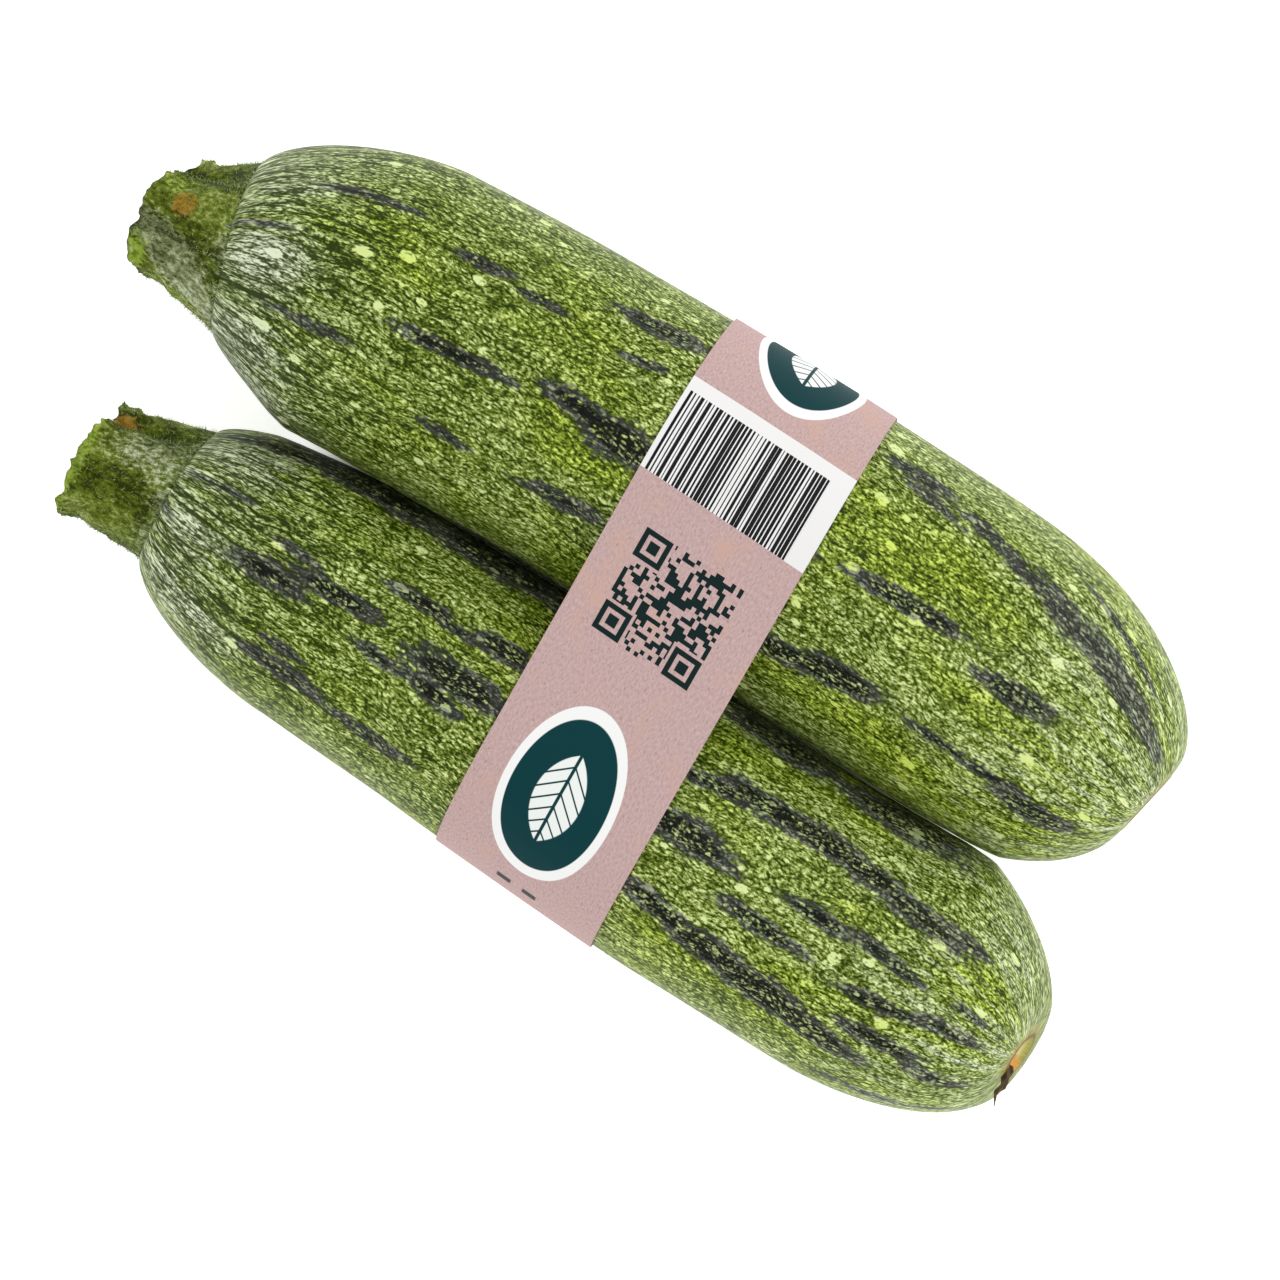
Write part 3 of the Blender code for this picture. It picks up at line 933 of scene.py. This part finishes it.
def bristle_material():
    """Pale hairs, some of them greener."""
    material, n, shader = new_material("stalk_bristle")
    place = n.new("ShaderNodeTexCoord").outputs["Object"]
    tint = n.noise(place, (700.0, 700.0, 700.0), 2.0)
    n.put(shader.inputs["Base Color"], n.ramp(tint, [(0.35, linear(96, 112, 44)),
                                                     (0.64, linear(186, 196, 146))]))
    n.put(shader.inputs["Roughness"], n.times_plus(tint, 0.2, 0.45))
    shader.inputs["Specular IOR Level"].default_value = 0.2
    return material


def add_bristles(fruit, host, tree, material):
    """Grow the bristles on a fruit's stalk and keep them as a plain mesh of their own."""
    piece = add_object(fruit.node + "_bristles", host.data.copy())
    modifier = piece.modifiers.new("bristles", "NODES")
    modifier.node_group = tree
    wanted = {"Density": 1.7e6, "Length": 0.9 * MM, "Thickness": 0.07 * MM, "Lean": 0.9,
              "Seed": int(fruit.seed) * 11, "Material": material}
    for item in tree.interface.items_tree:
        if item.in_out == "INPUT" and item.name in wanted:
            modifier[item.identifier] = wanted[item.name]
    ready = piece.evaluated_get(bpy.context.evaluated_depsgraph_get())
    mesh = bpy.data.meshes.new_from_object(ready)
    piece.modifiers.clear()
    piece.data = mesh
    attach(piece, ROOT)


# ---- a dried remnant of the flower --------------------------------------------------------------

def build_wisp(path, thick, material):
    """A small dark curl of dried petal that tapers along a path of (x, y, z)."""
    centres = curve_through([(x, y, z, 0.0) for x, y, z in path], 6)[:, :3]
    sides = 8
    coords = []
    for i, centre in enumerate(centres):
        taper = 1.0 - i / len(centres)
        for k in range(sides):
            a = 2 * math.pi * k / sides
            size = thick * taper * (1.0 + 0.35 * math.sin(3 * a + i))
            coords.append((centre[0] + size * math.cos(a), centre[1],
                           centre[2] + 0.6 * size * math.sin(a)))
    faces = []
    for i in range(len(centres) - 1):
        for k in range(sides):
            after = (k + 1) % sides
            faces.append((i * sides + k, i * sides + after, (i + 1) * sides + after,
                          (i + 1) * sides + k))
    faces.append(tuple(reversed(range(sides))))
    faces.append(tuple((len(centres) - 1) * sides + k for k in range(sides)))
    mesh = bpy.data.meshes.new("petal_wisp")
    mesh.from_pydata(coords, [], faces)
    if mesh_volume(mesh) < 0:
        mesh.flip_normals()
    mesh.materials.append(material)
    piece = add_object("petal_wisp", mesh)
    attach(piece, ROOT)


def wisp_material():
    """Dried brown-black petal."""
    material, n, shader = new_material("dried_petal")
    place = n.new("ShaderNodeTexCoord").outputs["Object"]
    grain = n.noise(place, (900.0, 900.0, 900.0), 2.0)
    n.put(shader.inputs["Base Color"], n.ramp(grain, [(0.3, linear(26, 20, 14)),
                                                      (0.7, linear(96, 74, 40))]))
    n.put(shader.inputs["Roughness"], n.times_plus(grain, 0.2, 0.7))
    return material


# ---- the paper band ---------------------------------------------------------------------------

def wrap_points(large, small, x, lift):
    """A tight loop (y, z) round both fruits at x, from the middle of the underside span."""
    large_y, large_z, large_r = large.outline.at_x(x)
    small_y, small_z, small_r = small.outline.at_x(x)
    tilt = math.atan2(large_z - small_z, large_y - small_y)
    under = -math.pi / 2
    over = math.pi / 2 + 2 * tilt
    large_r += lift
    small_r += lift

    def on(y, z, r, a):
        return np.array((y + r * math.cos(a), z + r * math.sin(a)))

    corner = on(large_y, large_z, large_r, under)
    last = on(small_y, small_z, small_r, under)
    middle = (corner + last) / 2
    points = [middle]
    arcs = 90
    points += [on(large_y, large_z, large_r, under + (over - under) * k / arcs)
               for k in range(arcs + 1)]
    points += [on(small_y, small_z, small_r, over + (3 * math.pi / 2 - over) * k / arcs)
               for k in range(arcs + 1)]
    points.append(middle)
    return np.array(points)


def strip_ring(large, small, x, places):
    """Points (y, z), outward normals and strip lengths at one station across the strip."""
    loop = wrap_points(large, small, x, SKIN_GAP + PAPER / 2)
    length = np.concatenate([[0.0], np.cumsum(np.hypot(*np.diff(loop, axis=0).T))])
    total = length[-1]
    at = (places * (total + LAP) - LAP / 2) % total
    y = np.interp(at, length, loop[:, 0])
    z = np.interp(at, length, loop[:, 1])
    ahead = (at + TANGENT_REACH) % total
    behind = (at - TANGENT_REACH) % total
    ty = np.interp(ahead, length, loop[:, 0]) - np.interp(behind, length, loop[:, 0])
    tz = np.interp(ahead, length, loop[:, 1]) - np.interp(behind, length, loop[:, 1])
    size = np.hypot(ty, tz)
    return y, z, tz / size, -ty / size, total


def build_band(large, small):
    """The strip: outer and inner face, cut edges, and a lap glued in the middle underneath."""
    low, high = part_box("paper_band")
    middle, half = band_span()
    across = np.linspace(low[0], high[0], STRIP_ACROSS + 1)
    _, _, _, _, total = strip_ring(large, small, middle, np.array([0.0]))
    run = total + LAP
    count = int(run / STRIP_STEP)
    places = np.linspace(0.0, 1.0, count + 1)
    walked = places * run
    over_lap = 1.0 - smooth((walked - LAP) / LAP_EASE)
    coords = []
    strip = []
    for side in (1, -1):
        for x in across:
            y, z, ny, nz, _ = strip_ring(large, small, x, places)
            edge = abs(x - middle) / half
            inward = over_lap * (PAPER + LAP_GLUE)
            wave = np.array([noise.noise(Vector((w / MM * 0.05, x / MM * 0.04, 3.0)))
                             for w in walked])
            curl = EDGE_CURL * edge ** 4 * wave
            lift = side * PAPER / 2 - inward + curl
            for k in range(count + 1):
                coords.append((x, y[k] + ny[k] * lift[k], z[k] + nz[k] * lift[k]))
                strip.append((walked[k] / MM, (x - middle) / MM, side))
    width = count + 1
    rows = STRIP_ACROSS + 1
    inner = rows * width
    faces = []
    for j in range(rows - 1):
        for k in range(count):
            a = j * width + k
            quad = (a, a + 1, a + width + 1, a + width)
            faces.append(quad)
            faces.append(tuple(inner + v for v in reversed(quad)))
    for k in range(count):
        last = (rows - 1) * width
        faces.append((k, inner + k, inner + k + 1, k + 1))
        faces.append((last + k, last + k + 1, inner + last + k + 1, inner + last + k))
    for j in range(rows - 1):
        a = j * width
        faces.append((a, a + width, inner + a + width, inner + a))
        b = a + count
        faces.append((b, inner + b, inner + b + width, b + width))
    mesh = bpy.data.meshes.new("band_strip")
    mesh.from_pydata(coords, [], faces)
    bm = bmesh.new()
    bm.from_mesh(mesh)
    bmesh.ops.recalc_face_normals(bm, faces=bm.faces)
    bm.to_mesh(mesh)
    bm.free()
    if mesh_volume(mesh) < 0:
        mesh.flip_normals()
    mesh.shade_smooth()
    mesh.set_sharp_from_angle(angle=math.radians(50))
    store(mesh, "strip", "FLOAT_VECTOR", strip)
    return add_object("band_strip", mesh)


def box_mask(n, value, low, high, soft=0.05):
    """1 where a coordinate lies between low and high."""
    return n.times(n.step(value, low - soft, low + soft),
                   n.step(value, high + soft, high - soft))


INK = {"panel": linear(232, 231, 230), "bars": linear(24, 24, 26), "mosaic": linear(14, 34, 34),
       "rim": linear(240, 241, 239), "fill": linear(2, 56, 60), "leaf": linear(234, 238, 234),
       "dash": linear(60, 66, 66)}
BADGE_HALF_LENGTH = 15.8    # of the oval badge, in mm along the strip
BADGE_HALF_WIDTH = 9.5
BARS_ACROSS = (-14.2, 11.6)  # the stripes, in mm across the strip
BARS_INSET = 2.6            # white left before them
MODULES = 25                # along each side of the mosaic


def badge_group():
    """Oval badge: white rim, dark fill and a plain leaf; coordinates from its centre, in mm."""
    tree, n, given, out = new_group(
        "leaf_badge", [("Along", FLOAT, 0.0), ("Across", FLOAT, 0.0), ("Half Length", FLOAT, 15.0),
                       ("Half Width", FLOAT, 9.5)],
        [("Rim", FLOAT), ("Fill", FLOAT), ("Leaf", FLOAT)])
    along = given["Along"]
    across = given["Across"]
    reach = n.vector("LENGTH", n.join(n.math("DIVIDE", along, given["Half Length"]),
                                      n.math("DIVIDE", across, given["Half Width"])))
    n.put(out["Rim"], n.step(reach, 1.006, 0.994))
    n.put(out["Fill"], n.step(reach, 0.866, 0.850))
    # A leaf is where two equal discs overlap; its midrib and side veins are left dark.
    side = n.size(across)
    disc = n.vector("LENGTH", n.join(along, n.plus(side, 6.2)))
    blade = n.step(disc, 10.3, 10.1)
    rib = n.step(side, 0.20, 0.34)
    slope = n.minus(along, n.times(side, 0.9))
    phase = n.math("FRACT", n.times(slope, 0.42))
    veins = n.step(n.size(n.minus(phase, 0.5)), 0.05, 0.11)
    n.put(out["Leaf"], n.times(blade, n.times(rib, veins)))
    return tree


FIBRE_CELLS = (1.4, 3.2, 1.0)
STAIN_CELLS = (0.10, 0.14, 1.0)
SPECK_CELLS = (0.5, 0.8, 1.0)


def band_material(marks):
    """Dusty pink kraft with a printed panel, mosaic, badges and dashes."""
    material, n, shader = new_material("band_paper")
    strip = n.attribute("strip", "Vector")
    along, across, side = n.split(strip)
    paper_p = n.vector("MULTIPLY", strip, (1.0, 1.0, 40.0))
    fibres = n.noise(paper_p, FIBRE_CELLS, 4.0, 0.7)
    clouds = n.noise(paper_p, STAIN_CELLS, 3.0, 0.6)
    colour = n.ramp(fibres, [(0.30, linear(170, 141, 138)), (0.50, linear(191, 163, 160)),
                             (0.72, linear(207, 181, 178))])
    colour = n.mix(n.step(clouds, 0.50, 0.80), colour, linear(200, 164, 150))
    far, cell = n.cells(paper_p, SPECK_CELLS)
    pick, _, _ = n.split(cell)
    specks = n.times(n.step(far, 0.16, 0.07), n.step(pick, 0.62, 0.64))
    colour = n.mix(n.times(specks, 0.45), colour, linear(140, 104, 92))
    outer = n.step(side, -0.2, 0.2)
    ink = 0.0

    def print_on(mask, tint, colour, ink):
        mask = n.times(mask, outer)
        return n.mix(mask, colour, tint), n.most(ink, mask)

    # White panel with plain stripes that stand for nothing.
    low, high = marks["panel"]
    panel = box_mask(n, along, low, high)
    colour, ink = print_on(panel, INK["panel"], colour, ink)
    place = n.math("DIVIDE", across, marks["stripe"])
    dice = n.new("ShaderNodeTexWhiteNoise", noise_dimensions="1D")
    n.put(dice.inputs["W"], n.math("FLOOR", place))
    width = n.times_plus(dice.outputs["Value"], 0.42, 0.11)
    off = n.size(n.minus(n.math("FRACT", place), 0.5))
    bars = n.math("LESS_THAN", off, width)
    bars = n.times(bars, box_mask(n, across, *BARS_ACROSS, 0.02))
    bars = n.times(bars, box_mask(n, along, low + BARS_INSET, high))
    colour, ink = print_on(bars, INK["bars"], colour, ink)

    # Seeded mosaic square with framed corners.
    mosaic = mosaic_mask(n, along, across, marks)
    colour, ink = print_on(mosaic, INK["mosaic"], colour, ink)

    # Two oval badges.
    group = marks["badge_group"]
    for centre, side_shift in marks["badges"]:
        badge = n.make("ShaderNodeGroup",
                       {"Along": n.minus(along, centre), "Across": n.minus(across, side_shift),
                        "Half Length": BADGE_HALF_LENGTH, "Half Width": BADGE_HALF_WIDTH},
                       node_tree=group).outputs
        colour, ink = print_on(badge["Rim"], INK["rim"], colour, ink)
        colour, ink = print_on(badge["Fill"], INK["fill"], colour, ink)
        colour, ink = print_on(badge["Leaf"], INK["leaf"], colour, ink)

    # A pair of short dashes below the badge.
    for shift in (-3.6, 1.2):
        dash = n.times(box_mask(n, along, marks["dash"], marks["dash"] + 1.6, 0.2),
                       box_mask(n, across, shift, shift + 2.6, 0.2))
        colour, ink = print_on(dash, INK["dash"], colour, ink)

    rough = n.times_plus(ink, -0.25, 0.85)
    n.fill(shader, {"Base Color": colour, "Roughness": rough,
                    "Normal": n.bump(fibres, 0.25, 0.08 * MM), "Specular IOR Level": 0.1})
    return material


def mosaic_mask(n, along, across, marks):
    """A square of random modules with three framed corners, too irregular to be read."""
    size = marks["mosaic_size"]
    pitch = size / MODULES
    u = n.math("DIVIDE", n.minus(along, marks["mosaic"]), pitch)
    v = n.math("DIVIDE", n.plus(across, size / 2 + 0.4), pitch)
    dice = n.new("ShaderNodeTexWhiteNoise", noise_dimensions="2D")
    n.put(dice.inputs["Vector"], n.join(n.math("FLOOR", u), n.math("FLOOR", v)))
    field = n.math("GREATER_THAN", dice.outputs["Value"], 0.5)
    frames = 0.0
    quiet = 0.0
    near = 3.5
    far = MODULES - near
    for cu, cv in ((near, near), (far, near), (far, far)):
        away = n.most(n.size(n.minus(u, cu)), n.size(n.minus(v, cv)))
        ring = box_mask(n, away, 2.2, 3.4, 0.06)
        core = n.step(away, 1.3, 1.2)
        frames = n.most(frames, n.most(ring, core))
        quiet = n.most(quiet, n.step(away, 4.15, 4.05))
    inside = n.times(box_mask(n, u, 0.0, float(MODULES), 0.02),
                     box_mask(n, v, 0.0, float(MODULES), 0.02))
    field = n.times(n.times(field, inside), n.minus(1.0, quiet))
    return n.most(field, frames)


# ---- stage, lights, camera --------------------------------------------------------------------

def build_floor():
    """A white floor far larger than the object, which glows round the fruits: painted light that
    washes out their cast shadows.
    """
    mesh = bpy.data.meshes.new("floor")
    half = 6.0
    mesh.from_pydata([(-half, -half, 0), (half, -half, 0), (half, half, 0), (-half, half, 0)], [],
                     [(0, 1, 2, 3)])
    floor = add_object("floor", mesh)
    material, n, shader = new_material("white_floor")
    place = n.new("ShaderNodeTexCoord").outputs["Object"]
    along, aside, _ = n.split(place)
    # The glow is left off under and between the fruits; elsewhere it is painted light in place of
    # their cast shadows.
    beside = n.most(n.step(n.size(aside), 0.010, 0.030),
                    n.step(n.size(n.minus(along, 0.008)), 0.054, 0.066))
    shader.inputs["Base Color"].default_value = (0.80, 0.80, 0.80, 1.0)
    shader.inputs["Emission Color"].default_value = (1.0, 1.0, 1.0, 1.0)
    n.put(shader.inputs["Emission Strength"], n.times(beside, 0.70))
    shader.inputs["Roughness"].default_value = 0.9
    shader.inputs["Specular IOR Level"].default_value = 0.1
    mesh.materials.append(material)
    floor.location.z = -0.1 * MM


def area_light(name, place, target, size, power):
    """A square soft light."""
    data = bpy.data.lights.new(name, "AREA")
    data.shape = "SQUARE"
    data.size = size
    data.energy = power
    lamp = add_object(name, data)
    lamp.location = place
    lamp.rotation_euler = (Vector(target) - Vector(place)).to_track_quat("-Z", "Y").to_euler()


def build_lights():
    """A white tent: even light from all round and a broad lamp above."""
    world = bpy.data.worlds.new("tent")
    world.use_nodes = True
    world.node_tree.nodes["Background"].inputs["Color"].default_value = (1.0, 1.0, 1.0, 1.0)
    world.node_tree.nodes["Background"].inputs["Strength"].default_value = 0.86
    bpy.context.scene.world = world
    area_light("top_lamp", (0.45, 0.35, 0.95), (0, 0, 0), 1.1, 4.0)
    bpy.context.scene.view_settings.view_transform = "Standard"


def build_camera():
    """The camera, looking down along a slightly tilted axis and rolled."""
    back = Vector((math.sin(CAMERA_TILT_X), math.sin(CAMERA_TILT_Y), 0.0))
    back.z = math.sqrt(1.0 - back.x ** 2 - back.y ** 2)
    along = (Vector((1, 0, 0)) - back * back.x).normalized()
    up = back.cross(along)
    right = along * math.cos(CAMERA_ROLL) + up * math.sin(CAMERA_ROLL)
    top = up * math.cos(CAMERA_ROLL) - along * math.sin(CAMERA_ROLL)
    data = bpy.data.cameras.new("camera")
    data.lens = CAMERA_LENS
    data.sensor_width = 36.0
    data.clip_end = 50.0
    camera = add_object("camera", data)
    turn = Matrix((right, top, back)).transposed()
    camera.matrix_world = Matrix.LocRotScale(CAMERA_TARGET + back * CAMERA_DISTANCE, turn, None)
    bpy.context.scene.camera = camera


# ---- put together -----------------------------------------------------------------------------

def main():
    build_camera()
    build_floor()
    build_lights()
    large = Fruit("large_courgette", seed=1.0, stalk_length=17.0 * MM, cut_radius=9.6 * MM,
                  cut_side=-1.0 * MM, cut_hollow=3.6 * MM, neck_radius=14.0 * MM,
                  neck_side=-3.7 * MM, neck_tilt=3.7 * MM, shoulder_reach=44.0 * MM,
                  shoulder_power=1.5, ridge_turn=141, scar_radius=5.4 * MM, scar_side=-2.8 * MM,
                  scar_turn=0.22, scar_lift=0.08,
                  marks={"dark": LARGE_STREAKS + seeded_streaks(3, 34), "cork": LARGE_CORKS,
                         "frost_and_sheen": LARGE_FROST_AND_SHEEN, "lime": LARGE_LIME})
    small = Fruit("small_courgette", seed=2.0, stalk_length=17.3 * MM, cut_radius=9.5 * MM,
                  cut_side=-1.8 * MM, cut_hollow=0.8 * MM, neck_radius=12.0 * MM,
                  neck_side=1.8 * MM, neck_tilt=0.0, shoulder_reach=42.0 * MM,
                  shoulder_power=1.65, ridge_turn=137, scar_radius=3.7 * MM, scar_side=-2.6 * MM,
                  scar_turn=0.05, scar_lift=0.30,
                  marks={"dark": SMALL_STREAKS_AND_VALLEY_SHADE + seeded_streaks(4, 34), "cork": SMALL_CORKS,
                         "frost_and_sheen": SMALL_FROST_AND_SHEEN, "lime": SMALL_LIME})
    large.neighbour = small.outline
    small.neighbour = large.outline
    groups = {"flecked_skin": skin_group(), "stalk_tissue": stalk_group(),
              "blossom_scar": scar_group()}
    bristles = bristle_tree()
    hairs = bristle_material()
    for fruit in (large, small):
        piece = build_fruit(fruit)
        add_bristles(fruit, piece, bristles, hairs)
        piece.data.materials.append(skin_material(fruit, groups))
        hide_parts(fruit.node)
        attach(piece, ROOT)
    tip = small.outline.tip_x
    _, tip_y, tip_z = (float(v) for v in small.outline.rings[-1][:3])
    build_wisp([(tip - 1.0 * MM, tip_y - 4.6 * MM, tip_z + 1.5 * MM),
                (tip - 0.2 * MM, tip_y - 7.6 * MM, tip_z + 3.0 * MM),
                (tip - 0.6 * MM, tip_y - 9.6 * MM, tip_z + 3.4 * MM),
                (tip + 0.2 * MM, tip_y - 11.4 * MM, tip_z + 4.4 * MM)], 0.8 * MM, wisp_material())
    band = build_band(large, small)
    tangent = over_large(large, small)
    marks = {
        "panel": (tangent - 17.7, tangent - 0.6), "stripe": 0.68,
        "mosaic": tangent + 6.7, "mosaic_size": 18.0,
        "badges": ((tangent + 50.4, -0.5), (tangent - 37.1, 0.0)),
        "dash": tangent + 70.5, "badge_group": badge_group(),
    }
    band.data.materials.append(band_material(marks))
    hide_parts("paper_band")
    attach(band, ROOT)


def over_large(large, small):
    """Place along the strip, in mm, at which the paper leaves the top of the large fruit."""
    x, _ = band_span()
    large_y, large_z, large_r = large.outline.at_x(x)
    small_y, small_z, small_r = small.outline.at_x(x)
    tilt = math.atan2(large_z - small_z, large_y - small_y)
    reach = large_r + SKIN_GAP + PAPER / 2
    span = (large_y - small_y) / 2
    return (LAP / 2 + span + reach * (math.pi + 2 * tilt)) / MM


main()
